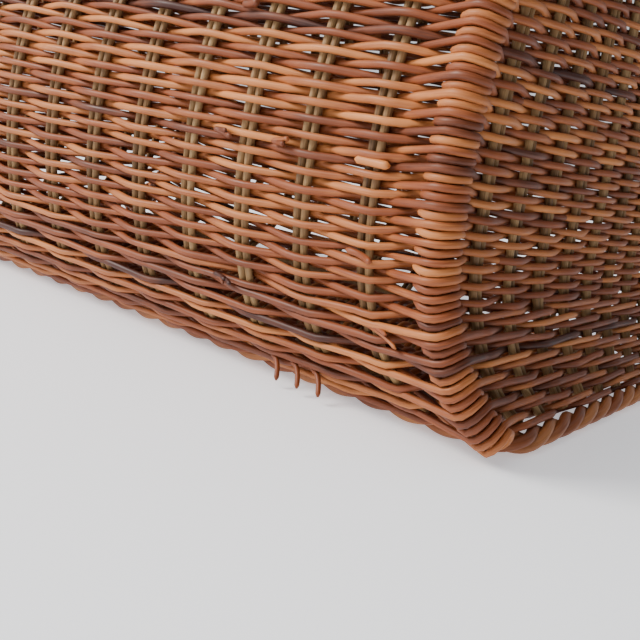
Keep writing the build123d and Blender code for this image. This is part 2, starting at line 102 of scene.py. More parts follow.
def end_at(along):
    """The same for an end wall, outward from the top of its flare."""
    along = np.asarray(along, float)
    angle = np.maximum(FLARE_ANGLE - along / FLARE_RADIUS, END_LEAN)
    past = np.maximum(along - FLARE_ARC, 0)
    out = FLARE_RADIUS * (math.cos(END_LEAN) - np.cos(angle)) - past * math.sin(END_LEAN)
    up = FLARE_TOP_Z + FLARE_RADIUS * (math.sin(END_LEAN) - np.sin(angle)) + past * math.cos(END_LEAN)
    return out, up, angle


long_line = wall_at(np.linspace(0, WALL_ARC, 600))
end_line = end_at(np.linspace(0, END_ARC, 600))


def at_height(line, height):
    """(outward, slope of the outward normal) of a wall's line at this height."""
    return float(np.interp(height, line[1], line[0])), float(np.interp(height, line[1], line[2]))


print("wall", round(WALL_ARC * 1000, 1), "mm from foot to rim, belly at", round(BELLY_Z * 1000, 1))

# %% [markdown]
# ## Willow
# Old willow is orange-brown, and no two rods are alike: some are nearly cream, others dark red. Each rod carries its
# own tone, and a grain coordinate that runs along it, so that streaks follow every bend. One node group turns both
# into colour, roughness and a height for the bump.


# %% The willow node group
def add_socket(group, name, kind, way, value=None):
    """Adds a socket to a node group's interface."""
    socket = group.interface.new_socket(name=name, in_out=way, socket_type=kind)
    if value is not None:
        socket.default_value = value
    return socket


def willow_group():
    """Streaked bark: tone and grain in, colour, roughness and height out."""
    group = bpy.data.node_groups.new("Willow bark", "ShaderNodeTree")
    add_socket(group, "Dark", "NodeSocketColor", "INPUT", (0.1, 0.03, 0.015, 1))
    add_socket(group, "Mid", "NodeSocketColor", "INPUT", (0.4, 0.15, 0.06, 1))
    add_socket(group, "Light", "NodeSocketColor", "INPUT", (0.65, 0.35, 0.16, 1))
    add_socket(group, "Streaks", "NodeSocketFloat", "INPUT", 0.5)
    add_socket(group, "Roughness", "NodeSocketFloat", "INPUT", 0.5)
    add_socket(group, "Color", "NodeSocketColor", "OUTPUT")
    add_socket(group, "Roughness", "NodeSocketFloat", "OUTPUT")
    add_socket(group, "Height", "NodeSocketFloat", "OUTPUT")
    nodes, links = group.nodes, group.links
    inp, out = nodes.new("NodeGroupInput"), nodes.new("NodeGroupOutput")

    def node(kind, **settings):
        made = nodes.new(kind)
        for key, value in settings.items():
            setattr(made, key, value)
        return made

    tone = node("ShaderNodeAttribute", attribute_name="tone")
    grain = node("ShaderNodeAttribute", attribute_name="grain")
    fibres = node("ShaderNodeMapping")
    fibres.inputs["Scale"].default_value = (60, 2600, 2600)
    links.new(grain.outputs["Vector"], fibres.inputs["Vector"])
    fine = node("ShaderNodeTexNoise")
    fine.inputs["Scale"].default_value = 1
    fine.inputs["Detail"].default_value = 3
    links.new(fibres.outputs["Vector"], fine.inputs["Vector"])
    patches = node("ShaderNodeMapping")
    patches.inputs["Scale"].default_value = (45, 160, 160)
    links.new(grain.outputs["Vector"], patches.inputs["Vector"])
    blotch = node("ShaderNodeTexNoise")
    blotch.inputs["Scale"].default_value = 1
    blotch.inputs["Detail"].default_value = 4
    links.new(patches.outputs["Vector"], blotch.inputs["Vector"])

    def math_node(operation, a, b, clamp=False):
        made = node("ShaderNodeMath", operation=operation, use_clamp=clamp)
        for socket, value in zip(made.inputs, (a, b)):
            if isinstance(value, bpy.types.NodeSocket):
                links.new(value, socket)
            else:
                socket.default_value = value
        return made.outputs[0]

    streak = math_node("MULTIPLY", math_node("SUBTRACT", fine.outputs["Fac"], 0.5), inp.outputs["Streaks"])
    blot = math_node("MULTIPLY", math_node("SUBTRACT", blotch.outputs["Fac"], 0.5), 0.75)
    level = math_node("ADD", math_node("ADD", tone.outputs["Fac"], streak), blot, clamp=True)
    lower = node("ShaderNodeMix", data_type="RGBA")
    upper = node("ShaderNodeMix", data_type="RGBA")
    links.new(math_node("MULTIPLY", level, 2.0, clamp=True), lower.inputs["Factor"])
    links.new(math_node("SUBTRACT", math_node("MULTIPLY", level, 2.0), 1.0, clamp=True), upper.inputs["Factor"])
    links.new(inp.outputs["Dark"], lower.inputs["A"])
    links.new(inp.outputs["Mid"], lower.inputs["B"])
    links.new(lower.outputs["Result"], upper.inputs["A"])
    links.new(inp.outputs["Light"], upper.inputs["B"])
    links.new(upper.outputs["Result"], out.inputs["Color"])
    shine = math_node("MULTIPLY", math_node("SUBTRACT", blotch.outputs["Fac"], 0.5), 0.35)
    links.new(math_node("ADD", inp.outputs["Roughness"], shine, clamp=True), out.inputs["Roughness"])
    lumps = math_node("MULTIPLY", blotch.outputs["Fac"], 0.6)
    links.new(math_node("ADD", fine.outputs["Fac"], lumps), out.inputs["Height"])
    return group


bark = willow_group()
print("willow group has", len(bark.nodes), "nodes")


# %% Materials
def willow(name, dark, mid, light, streaks=0.5, roughness=0.5, bump=0.25):
    """A willow material: the group's colour, roughness and height go into a plain Principled shader."""
    material = bpy.data.materials.new(name)
    material.use_nodes = True
    nodes, links = material.node_tree.nodes, material.node_tree.links
    shader = nodes["Principled BSDF"]
    shader.inputs["Specular IOR Level"].default_value = 0.35
    rod = nodes.new("ShaderNodeGroup")
    rod.node_tree = bark
    rod.inputs["Dark"].default_value = (*dark, 1)
    rod.inputs["Mid"].default_value = (*mid, 1)
    rod.inputs["Light"].default_value = (*light, 1)
    rod.inputs["Streaks"].default_value = streaks
    rod.inputs["Roughness"].default_value = roughness
    relief = nodes.new("ShaderNodeBump")
    relief.inputs["Strength"].default_value = bump
    relief.inputs["Distance"].default_value = 0.3 * MM
    links.new(rod.outputs["Color"], shader.inputs["Base Color"])
    links.new(rod.outputs["Roughness"], shader.inputs["Roughness"])
    links.new(rod.outputs["Height"], relief.inputs["Height"])
    links.new(relief.outputs["Normal"], shader.inputs["Normal"])
    return material


weaver_willow = willow("weaver willow", (0.045, 0.010, 0.005), (0.25, 0.063, 0.018), (0.57, 0.205, 0.056))
stake_willow = willow(
    "stake willow", (0.07, 0.034, 0.015), (0.27, 0.15, 0.06), (0.50, 0.32, 0.145), 0.9, 0.62, 0.5
)
border_willow = willow("border willow", (0.05, 0.012, 0.006), (0.25, 0.07, 0.021), (0.52, 0.21, 0.068))

# %% [markdown]
# ## Rods
# Every woven piece is many bent rods in one mesh. A rod is a round section carried along a smooth path, with a
# little taper and unevenness, and closed, rounded ends.


# %% Paths and rods
def through(points, step, closed=False):
    """A smooth path through the points, sampled about every step metres."""
    points = np.asarray(points, float)
    if closed:
        padded = np.vstack([points[-1:], points, points[:2]])
    else:
        padded = np.vstack([2 * points[0] - points[1], points, 2 * points[-1] - points[-2]])
    chord = np.maximum(np.linalg.norm(np.diff(padded, axis=0), axis=1), 1e-6)
    tangent = (padded[2:] - padded[:-2]) / (chord[1:] + chord[:-1])[:, None]
    made = []
    for n in range(len(padded) - 3):
        length = chord[n + 1]
        count = max(1, round(length / step))
        t = (np.arange(count) / count)[:, None]
        a, b = padded[n + 1], padded[n + 2]
        made.append(
            a * (2 * t**3 - 3 * t**2 + 1)
            + tangent[n] * length * (t**3 - 2 * t**2 + t)
            + b * (3 * t**2 - 2 * t**3)
            + tangent[n + 1] * length * (t**3 - t**2)
        )
    if not closed:
        made.append(padded[-2][None])
    return np.vstack(made)


def rods_mesh(name, rods, material, sides=8):
    """One mesh of rods. Each rod is a dict with path, radius, tone, closed and up, a direction across the path."""
    verts, quads, caps, tones, grains = [], [], [], [], []
    base = 0
    angles = np.arange(sides) * 2 * math.pi / sides
    for rod in rods:
        path = rod["path"]
        count = len(path)
        closed = rod.get("closed", False)
        tangent = np.roll(path, -1, 0) - np.roll(path, 1, 0) if closed else np.gradient(path, axis=0)
        tangent /= np.maximum(np.linalg.norm(tangent, axis=1), 1e-9)[:, None]
        side = np.cross(tangent, rod.get("up", (0, 0, 1)))
        side /= np.maximum(np.linalg.norm(side, axis=1), 1e-9)[:, None]
        up = np.cross(side, tangent)
        radius = np.broadcast_to(rod["radius"], count).astype(float)
        ring = side[:, None] * np.cos(angles)[None, :, None] + up[:, None] * np.sin(angles)[None, :, None]
        verts.append((path[:, None] + ring * radius[:, None, None]).reshape(-1, 3))
        length = np.concatenate([[0], np.cumsum(np.linalg.norm(np.diff(path, axis=0), axis=1))])
        seed = rng.uniform(0, 5, 3)
        tone = rod["tone"] + 0.06 * np.sin(length / (35 * MM) + seed[0] * 9)
        tones.append(np.repeat(tone, sides))
        grain = np.empty((count, sides, 3))
        grain[:, :, 0] = length[:, None] + seed[0]
        grain[:, :, 1] = np.cos(angles)[None] * radius[:, None] + seed[1]
        grain[:, :, 2] = np.sin(angles)[None] * radius[:, None] + seed[2]
        grains.append(grain.reshape(-1, 3))
        rows = np.arange(count if closed else count - 1)
        a = base + rows[:, None] * sides + np.arange(sides)[None]
        b = base + rows[:, None] * sides + (np.arange(sides)[None] + 1) % sides
        skip = base + ((rows[:, None] + 1) % count) * sides
        c = skip + (np.arange(sides)[None] + 1) % sides
        d = skip + np.arange(sides)[None]
        quads.append(np.stack([a, b, c, d], -1).reshape(-1, 4))
        if not closed:
            caps.append(base + np.arange(sides)[::-1])
            caps.append(base + (count - 1) * sides + np.arange(sides))
        base += count * sides
    verts, quads = np.vstack(verts), np.vstack(quads)
    mesh = bpy.data.meshes.new(name)
    mesh.vertices.add(len(verts))
    mesh.vertices.foreach_set("co", verts.ravel())
    loops = np.concatenate([quads.ravel(), *caps]) if caps else quads.ravel()
    starts = np.concatenate([np.arange(len(quads)) * 4, len(quads) * 4 + np.arange(len(caps)) * sides])
    mesh.loops.add(len(loops))
    mesh.loops.foreach_set("vertex_index", loops.astype(np.int32))
    mesh.polygons.add(len(starts))
    mesh.polygons.foreach_set("loop_start", starts.astype(np.int32))
    mesh.polygons.foreach_set("use_smooth", np.arange(len(starts)) < len(quads))
    mesh.attributes.new("tone", "FLOAT", "POINT").data.foreach_set("value", np.concatenate(tones).astype(np.float32))
    mesh.attributes.new("grain", "FLOAT_VECTOR", "POINT").data.foreach_set("vector", np.vstack(grains).ravel())
    mesh.update(calc_edges=True)
    mesh.validate()
    piece = bpy.data.objects.new(name, mesh)
    bpy.context.scene.collection.objects.link(piece)
    mesh.materials.append(material)
    print(name, len(rods), "rods", len(quads), "faces")
    return piece


def blunt(radius, count, ends=2):
    """A radius for each point of a rod whose ends are rounded over."""
    made = np.full(count, float(radius)) if np.isscalar(radius) else np.array(radius, float)
    for n, share in zip(range(ends), (0.45, 0.85)):
        made[n] *= share
        made[-1 - n] *= share
    return made


# %% [markdown]
# ## The woven walls
# Going once round, a row meets every pair of stakes and every post in turn. It passes outside one and inside the
# next, and the row above does the opposite. At the corners each row climbs a little, because the rows that pass
# inside a post are wrapped round it and take up room there. The bottom rows are a wale: two outside, one inside.


# %% Stations round the basket
def stations():
    """What a row meets on its way round: (x, y at the belly, outward x, outward y, is it a post)."""
    made = []
    sides = (
        (LONG_PAIRS, (-HALF_LENGTH, -HALF_WIDTH), (1, 0), (0, -1)),
        (SHORT_PAIRS, (HALF_LENGTH, -HALF_WIDTH), (0, 1), (1, 0)),
        (LONG_PAIRS, (HALF_LENGTH, HALF_WIDTH), (-1, 0), (0, 1)),
        (SHORT_PAIRS, (-HALF_LENGTH, HALF_WIDTH), (0, -1), (-1, 0)),
    )
    for pairs, start, way, out in sides:
        for n in range(1, pairs + 1):
            made.append((start[0] + way[0] * n * STAKE_PITCH, start[1] + way[1] * n * STAKE_PITCH, *out, False))
        end = (start[0] + way[0] * (pairs + 1) * STAKE_PITCH, start[1] + way[1] * (pairs + 1) * STAKE_PITCH)
        made.append((*end, *out, True))
    return made


STATIONS = stations()
STAKE_OFF = STAKE_RADIUS + WEAVER / 2
POST_OFF = POST_RADIUS + WEAVER / 2
WALE_ROWS = 16
FIRST_ROW = FOOT_RADIUS + WEAVER / 2 - 0.8 * MM
LAST_ROW = WALL_ARC - RIM_RADIUS - WEAVER / 2 - 0.3 * MM
ROWS = int((LAST_ROW - FIRST_ROW) / WEAVER) + 1
ROW_PITCH = (LAST_ROW - FIRST_ROW) / (ROWS - 1)


def is_outside(station, row):
    """Does this row pass outside this station?"""
    if row < WALE_ROWS:
        return (station + row) % 3 != 0
    return (station + row) % 2 == 0


def row_heights(row):
    """Heights of a row in the middle of a long wall, in the middle of an end wall, and at a corner post."""
    share = row / (ROWS - 1)
    long_up = float(wall_at(FIRST_ROW + (LAST_ROW - FIRST_ROW) * share)[1])
    end_up = float(end_at(FIRST_ROW + (END_ARC - WALL_ARC + LAST_ROW - FIRST_ROW) * share)[1])
    return long_up, end_up, max(long_up, end_up) + 2.5 * MM * math.sin(share * math.pi) ** 2


def place(anchor, out_way, off, height):
    """The point off metres outside the stakes' line at this height, for anchors given at the belly."""
    long_out, long_slope = at_height(long_line, height)
    end_out, end_slope = at_height(end_line, height)
    slope = out_way[0] ** 2 * end_slope + out_way[1] ** 2 * long_slope
    x = anchor[0] * (1 + end_out / HALF_LENGTH) + out_way[0] * off * math.cos(slope)
    y = anchor[1] * (1 + long_out / HALF_WIDTH) + out_way[1] * off * math.cos(slope)
    return (x, y, height + off * math.sin(slope))


def row_points(row, wander):
    """Points of one row, once round, and for each station the index of its middle point."""
    long_up, end_up, corner_up = row_heights(row)
    points, marks = [], []
    for index, (x, y, ox, oy, post) in enumerate(STATIONS):
        outside = is_outside(index, row)
        if post:
            nx, ny = STATIONS[(index + 1) % len(STATIONS)][2:4]
            marks.append(len(points) + 2)
            for turn in (0, 0.25, 0.5, 0.75, 1) if outside else (0.2, 0.5, 0.8):
                c, s = math.cos(turn * math.pi / 2), math.sin(turn * math.pi / 2)
                way = (ox * c + nx * s, oy * c + ny * s)
                points.append(place((x, y), way, POST_OFF if outside else -1.15 * POST_OFF, corner_up))
            continue
        middle_up, from_post = (long_up, HALF_LENGTH - abs(x)) if oy else (end_up, HALF_WIDTH - abs(y))
        high = middle_up + (corner_up - middle_up) * math.exp(-from_post / (24 * MM)) + wander[index]
        off = STAKE_OFF if outside else -STAKE_OFF
        marks.append(len(points) + 1)
        for shift in (-3.4 * MM, 0.0, 3.4 * MM):
            anchor = (x + shift * -oy, y + shift * ox)
            points.append(place(anchor, (ox, oy), off * (1.0 if shift == 0 else 0.93), high))
    return np.array(points), marks


# %% Rows of weaving
def uneven(count, size, smooth=9):
    """Random values that drift slowly from one to the next."""
    raw = rng.normal(0, 1, count + smooth)
    kernel = np.hanning(smooth + 2)[1:-1]
    return size * np.convolve(raw, kernel / np.sqrt((kernel**2).sum()), "valid")[:count]


def weave_rows(first, last):
    """Rows of weavers, from row first up to row last. Each row is two or three rods that meet inside the basket."""
    rods = []
    for row in range(first, last):
        wander = rng.normal(0, 0.28 * MM, len(STATIONS))
        points, marks = row_points(row, wander)
        path = through(points, 3.2 * MM, closed=True)
        count = len(path)
        inside = [n for n in range(len(STATIONS)) if not is_outside(n, row) and not STATIONS[n][4]]
        joins = sorted(rng.choice(inside, size=rng.integers(2, 4), replace=False))
        share = [int(marks[n] / len(points) * count) for n in joins]
        for n, start in enumerate(share):
            stop = share[(n + 1) % len(share)]
            if stop <= start:
                stop += count
            span = np.arange(start, stop + 3) % count
            piece = path[span].copy()
            butt = rng.uniform(1.34, 1.55) * MM
            tip = butt * rng.uniform(0.82, 0.97)
            radius = np.linspace(butt, tip, len(span)) if rng.random() < 0.5 else np.linspace(tip, butt, len(span))
            radius = radius + uneven(len(span), 0.03 * MM)
            tone = float(np.clip(rng.normal(0.56, 0.2), 0.08, 0.98))
            rods.append({"path": piece, "radius": blunt(radius, len(span)), "tone": tone})
    return rods


def stray_end(pairs_in, share, length, drop, reach, thick, tone):
    """An end that leaves the front weave, this many stake pairs in from the right and this share of the way up."""
    x, up = HALF_LENGTH - pairs_in * STAKE_PITCH, FOOT_Z + share * (RIM_Z - FOOT_Z)
    points = []
    for along in (0, 0.35, 0.7, 1):
        off = STAKE_OFF + (reach - STAKE_OFF) * along**2
        points.append(place((x + along * length, -HALF_WIDTH), (0, -1), off, up - drop * along))
    path = through(points, 1.2 * MM)
    path[:, 2] = np.maximum(path[:, 2], thick)
    return {"path": path, "radius": blunt(thick, len(path), 1), "tone": tone}


def broken_end(pairs_in, share, slivers, tone):
    """A rod that has snapped: thin slivers that spread from one place."""
    return [
        stray_end(
            pairs_in, share, rng.uniform(0.3, 0.5) * STAKE_PITCH, rng.normal(0, 1.5 * MM),
            STAKE_OFF + rng.uniform(2, 5) * MM, rng.uniform(0.2, 0.4) * WEAVER, tone + rng.normal(0, 0.1),
        )
        for _ in range(slivers)
    ]


def strays():
    """The front wall's loose ends: snapped rods, one cut end, one peeled piece, and ends that hang by the foot."""
    rods = broken_end(3.5, 1 / 2, 2, 0.2) + broken_end(2.5, 1 / 2, 2, 0.5) + broken_end(3.5, 1 / 5, 3, 0.1)
    rods += broken_end(1, 1 / 5, 2, 0.6)
    rods.append(stray_end(3.5, 3 / 4, STAKE_PITCH / 3, 0, 2 * STAKE_OFF, WEAVER / 2, 0.3))
    rods.append(stray_end(1.2, 1 / 2, STAKE_PITCH / 2, 0, 1.3 * STAKE_OFF, WEAVER / 2, 1.3))
    rods.append(stray_end(1.2, 1 / 3, STAKE_PITCH / 2, 0, 3 * STAKE_OFF, 0.4 * WEAVER, 0.5))
    for n in range(3):
        rods.append(stray_end(3 - n / 3, 1 / 20, STAKE_PITCH / 4, 1 * MM, 4 * STAKE_OFF, 0.35 * WEAVER, 0.4))
    return rods


wale = rods_mesh("wale_rows", weave_rows(0, WALE_ROWS), weaver_willow)
third = (ROWS - WALE_ROWS) // 3
lower = rods_mesh("lower_rows", weave_rows(WALE_ROWS, WALE_ROWS + third), weaver_willow, 10)
middle_rods = weave_rows(WALE_ROWS + third, WALE_ROWS + 2 * third) + strays()
middle = rods_mesh("middle_rows", middle_rods, weaver_willow, 10)
upper = rods_mesh("upper_rows", weave_rows(WALE_ROWS + 2 * third, ROWS), weaver_willow)
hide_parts("front_inner_weave", "back_inner_weave")
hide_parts("left_inner_weave", "right_inner_weave")
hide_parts("front_outer_weave", "back_outer_weave")
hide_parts("left_outer_weave", "right_outer_weave")
for piece in (wale, lower, middle, upper):
    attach(piece, "basket")
print(ROWS, "rows,", round(ROW_PITCH * 1000, 2), "mm apart")


# %% [markdown]
# A row that passes inside a corner post is also wound once round it. Seen from outside, the windings fill the post
# between the rows that go round the corner, and their ends slip away behind the neighbouring rows.

# %% Windings on the corner posts
def post_windings():
    """One turn of willow round each post for every row that passes inside it."""
    rods = []
    for index, (x, y, ox, oy, post) in enumerate(STATIONS):
        if not post:
            continue
        nx, ny = STATIONS[(index + 1) % len(STATIONS)][2:4]
        for row in range(ROWS):
            if is_outside(index, row):
                continue
            high = row_heights(row)[2]
            points = []
            for turn in np.linspace(-1.15, 2.15, 12):
                c, s = math.cos(turn * math.pi / 2), math.sin(turn * math.pi / 2)
                way = (ox * c + nx * s, oy * c + ny * s)
                drop = 1.2 * MM * (turn - 0.5) * rng.uniform(0.5, 1.0)
                points.append(place((x, y), way, POST_OFF - 0.4 * MM, high + drop * 0.5))
            path = through(points, 2.5 * MM)
            radius = rng.uniform(1.3, 1.5) * MM
            tone = float(np.clip(rng.normal(0.6, 0.17), 0.1, 0.98))
            rods.append({"path": path, "radius": blunt(radius, len(path)), "tone": tone})
    return rods


windings = rods_mesh("corner_windings", post_windings(), weaver_willow)
corners = ("front_left", "front_right", "back_left", "back_right")
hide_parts(*[f"{corner}_corner_wrapping" for corner in corners])
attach(windings, "basket")


# %% [markdown]
# ## Stakes
# The stakes stand in pairs, thinner and duller than the weavers. They are ribbed, and no pair is quite straight.

# %% Stakes and posts
def stake_rods(side):
    """The paired rods of one wall, which is 0 for the front and goes round by the right-hand end."""
    rods = []
    first = (0, LONG_PAIRS + 1, LONG_PAIRS + SHORT_PAIRS + 2, 2 * LONG_PAIRS + SHORT_PAIRS + 3)[side]
    pairs = (LONG_PAIRS, SHORT_PAIRS)[side % 2]
    line, arc = (wall_at, WALL_ARC) if side % 2 == 0 else (end_at, END_ARC)
    low, high = FOOT_RADIUS + 1 * MM, arc - RIM_RADIUS - 0.5 * MM
    for x, y, ox, oy, _ in STATIONS[first : first + pairs]:
        twist = rng.normal(0, 0.12)
        for way in (-1, 1):
            points = []
            for share in np.linspace(0, 1, 16):
                height = float(line(low + (high - low) * share)[1])
                apart = way * (STAKE_RADIUS + 0.12 * MM) + rng.normal(0, 0.07 * MM)
                off = way * twist * 0.6 * MM + rng.normal(0, 0.06 * MM)
                px, py, pz = place((x, y), (ox, oy), off, height)
                points.append((px - oy * apart, py + ox * apart, pz))
            path = through(points, 3.5 * MM)
            radius = np.full(len(path), STAKE_RADIUS * rng.uniform(0.88, 0.98)) + uneven(len(path), 0.03 * MM, 5)
            tone = float(np.clip(rng.normal(0.55, 0.12), 0.2, 0.9))
            rods.append({"path": path, "radius": radius, "tone": tone, "up": (-oy, ox, 0)})
    return rods


for side, wall in enumerate(("front", "right", "back", "left")):
    stakes = rods_mesh(f"{wall}_stake_pairs", stake_rods(side), stake_willow, 12)
    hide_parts(f"{wall}_stakes")
    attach(stakes, "basket")

# %% [markdown]
# The corner posts are single thick rods. They show where the windings leave a gap.

# %% Corner posts
post_rods = []
for x, y, ox, oy, post in STATIONS:
    if post:
        heights = np.linspace(10 * MM, RIM_Z - RIM_RADIUS - 1 * MM, 24)
        points = np.array([place((x, y), (ox, oy), 0, float(height)) for height in heights])
        post_rods.append({"path": points, "radius": 0.97 * POST_RADIUS, "tone": 0.3, "up": (ox, oy, 0)})
posts = rods_mesh("corner_post_rods", post_rods, border_willow, 14)
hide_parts(*[f"{corner}_corner_post" for corner in corners])
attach(posts, "basket")

# %% [markdown]
# ## Borders
# The foot, the rim and the lid's edge are twisted: strands that run round the basket and round each other.


# %% Twisted borders
def rounded_rectangle(half_x, half_y, height, corner):
    """Points once round a rectangle with bent corners."""
    points = []
    for sx, sy, start in ((1, -1, -90), (1, 1, 0), (-1, 1, 90), (-1, -1, 180)):
        for turn in np.radians(start + np.linspace(0, 90, 7)):
            x = sx * (half_x - corner) + corner * math.cos(turn)
            y = sy * (half_y - corner) + corner * math.sin(turn)
            points.append((x, y, height))
    return points


def twisted(line, up, radius, strands, lay, tone=0.55):
    """Strands laid round a closed line. Each goes once round the others in about lay metres."""
    line = np.asarray(line)
    ahead = np.roll(line, -1, 0) - np.roll(line, 1, 0)
    ahead /= np.linalg.norm(ahead, axis=1)[:, None]
    side = np.cross(ahead, up)
    length = np.concatenate([[0], np.cumsum(np.linalg.norm(np.diff(line, axis=0), axis=1))])
    whole = length[-1] + np.linalg.norm(line[0] - line[-1])
    turns = max(1, round(whole / lay))
    thick = radius * math.sin(math.pi / strands) / (1 + math.sin(math.pi / strands))
    rods = []
    for strand in range(strands):
        angle = 2 * math.pi * (length / whole * turns + strand / strands)
        path = line + (radius - thick) * (side * np.cos(angle)[:, None] + np.outer(np.sin(angle), up))
        shade = float(np.clip(tone + rng.normal(0, 0.12), 0.1, 0.95))
        rods.append({"path": path, "radius": thick * 1.08, "tone": shade, "closed": True, "up": up})
    return rods


LID_Z = RIM_Z + RIM_RADIUS + REST_GAP + LID_BORDER_RADIUS
BORDER_CORNER = 16 * MM
for name, half_x, half_y, height, radius, strands, body in (
    ("foot_border", FOOT_X, FOOT_Y, FOOT_Z, 0.88 * FOOT_RADIUS, 3, "basket"),
    ("rim_border", RIM_X, RIM_Y, RIM_Z, 0.95 * RIM_RADIUS, 4, "basket"),
    ("lid_border", RIM_X, RIM_Y, LID_Z, 0.95 * LID_BORDER_RADIUS, 4, "lid"),
):
    ring = through(rounded_rectangle(half_x, half_y, height, BORDER_CORNER), 2.4 * MM, closed=True)
    rope = twisted(ring, (0, 0, 1), radius, strands, 11 * radius)
    border = rods_mesh(f"{name}_rope", rope, border_willow, 10)
    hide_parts(name)
    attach(border, body)

# %% [markdown]
# ## Base and lid
# Both are woven the same way: straight sticks run lengthways, and thin rods cross them, over one and under the next.


# %% Crossing rods
def crossing_rows(half_x, half_y, sticks, off, surface, stop_at):
    """Rods along Y at even steps in X. surface gives the height of the sticks' line; stop_at the reach of a row."""
    rods = []
    count = int(2 * half_x / WEAVER)
    pitch = 2 * half_x / count
    for n in range(count):
        x = -half_x + (n + 0.5) * pitch
        reach = stop_at(x, half_y)
        stations_y = [-half_y + 0.5 * MM, *sticks, reach]
        points = []
        for k, y in enumerate(stations_y):
            way = 1 if (k + n) % 2 == 0 else -1
            lift = 0 if k in (0, len(stations_y) - 1) else way * off
            points.append((x + rng.normal(0, 0.12 * MM), min(y, reach), surface(x, y) + lift))
        path = through(points, 3.6 * MM)
        tone = float(np.clip(rng.normal(0.56, 0.18), 0.1, 0.98))
        radius = blunt(rng.uniform(1.32, 1.45) * MM, len(path))
        rods.append({"path": path, "radius": radius, "tone": tone, "up": (1, 0, 0)})
    return rods


BASE_LOW, BASE_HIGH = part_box("base_sticks")
BASE_Z, BASE_STICK_RADIUS = (BASE_LOW.z + BASE_HIGH.z) / 2, 3 * MM
EDGE_LOW, EDGE_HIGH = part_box("base_edge_sticks")
EDGE_RADIUS = (EDGE_HIGH.z - EDGE_LOW.z) / 2
edge_y = EDGE_HIGH.y - EDGE_RADIUS
base_spacing = 2 * edge_y / 7
base_y = [(n - 2.5) * base_spacing for n in range(6)]
inner_low, inner_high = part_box("base_inner_weave")
base_rows = rods_mesh(
    "base_rows",
    crossing_rows(inner_high.x, edge_y - EDGE_RADIUS, base_y, BASE_STICK_RADIUS + WEAVER / 2,
                  lambda x, y: BASE_Z, lambda x, half: half - 0.5 * MM),
    weaver_willow,
)
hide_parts("base_under_weave", "base_inner_weave")
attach(base_rows, "basket")

base_rods = [{"path": through([(-BASE_HIGH.x, y, BASE_Z), (0, y, BASE_Z), (BASE_HIGH.x, y, BASE_Z)], 12 * MM),
              "radius": 0.96 * BASE_STICK_RADIUS, "tone": 0.5} for y in base_y]
edge_z = EDGE_LOW.z + EDGE_RADIUS
edge_rods = [{"path": through([(-EDGE_HIGH.x, y, edge_z), (0, y, edge_z), (EDGE_HIGH.x, y, edge_z)], 12 * MM),
              "radius": 0.96 * EDGE_RADIUS, "tone": 0.45} for y in (-edge_y, edge_y)]
for name, rods in (("base_sticks", base_rods), ("base_edge_sticks", edge_rods)):
    sticks = rods_mesh(f"{name}_rods", rods, stake_willow, 12)
    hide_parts(name)
    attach(sticks, "basket")

# %% The lid
LID_CROWN, LID_STICKS, LID_STICK_RADIUS = 8 * MM, 8, 2.5 * MM
LID_X, LID_Y = RIM_X - LID_BORDER_RADIUS, RIM_Y - LID_BORDER_RADIUS
ring_low, ring_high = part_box("right_hinge_ring")
HINGE_X, HINGE_ROD = (ring_low.x + ring_high.x) / 2, (ring_high.x - ring_low.x) / 2


def lid_height(x, y):
    """Height of the lid's sticks at this point."""
    return LID_Z + LID_CROWN * (1 - (x / RIM_X) ** 2) * (1 - (y / RIM_Y) ** 2)


def lid_reach(x, half_y):
    """How far back a row runs. Rows beside a hinge ring stop short of it."""
    near_ring = abs(abs(x) - HINGE_X) < HINGE_ROD + WEAVER
    return half_y - (5 if near_ring else 0.5) * MM


lid_y = [(n - (LID_STICKS - 1) / 2) * 2 * RIM_Y / (LID_STICKS + 1) for n in range(LID_STICKS)]
lid_off = LID_STICK_RADIUS + WEAVER / 2
lid_crossings = crossing_rows(LID_X, LID_Y, lid_y, lid_off, lid_height, lid_reach)
lid_rows = rods_mesh("lid_rows", lid_crossings, weaver_willow)
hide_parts("lid_top_weave", "lid_under_weave")
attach(lid_rows, "lid")

lid_rods = []
for y in lid_y:
    points = [(x, y, lid_height(x, y)) for x in np.linspace(-LID_X, LID_X, 9)]
    lid_rods.append({"path": through(points, 8 * MM), "radius": 0.96 * LID_STICK_RADIUS, "tone": 0.5})
lid_sticks = rods_mesh("lid_stick_rods", lid_rods, stake_willow, 10)
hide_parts("lid_sticks")
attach(lid_sticks, "lid")

# %% [markdown]
# ## Hinges and handle
# Two rings of twisted willow go round the rim and the lid's edge together. The handle is a thick bent rod that goes
# through the lid, is pegged underneath, and has a thin skein wound round its grip.

# %% Hinge rings
rim_loop = RIM_RADIUS + REST_GAP + HINGE_ROD
lid_loop = LID_BORDER_RADIUS + 0.15 * MM + HINGE_ROD
tilt = math.asin((rim_loop - lid_loop) / (LID_Z - RIM_Z))
for side, x in (("left", -HINGE_X), ("right", HINGE_X)):
    low_turn = np.linspace(math.pi - tilt, 2 * math.pi + tilt, 14)
    high_turn = np.linspace(tilt, math.pi - tilt, 12)
    loop = [(x, RIM_Y + rim_loop * math.cos(a), RIM_Z + rim_loop * math.sin(a)) for a in low_turn]
    loop += [(x, RIM_Y + lid_loop * math.cos(a), LID_Z + lid_loop * math.sin(a)) for a in high_turn]
    line = through(loop, 1.0 * MM, closed=True)
    twist = twisted(line, (1, 0, 0), 0.95 * HINGE_ROD, 3, 9 * MM, 0.4)
    ring = rods_mesh(f"{side}_hinge_twist", twist, border_willow, 8)
    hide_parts(f"{side}_hinge_ring")
    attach(ring, "lid")

# %% Handle
bow_low, bow_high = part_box("handle_bow")
grip_low, grip_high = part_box("handle_binding")
HANDLE_RADIUS, HANDLE_BEND = (bow_high.y - bow_low.y) / 2, 34 * MM
foot_x, handle_top = bow_high.x - HANDLE_RADIUS, bow_high.z - HANDLE_RADIUS


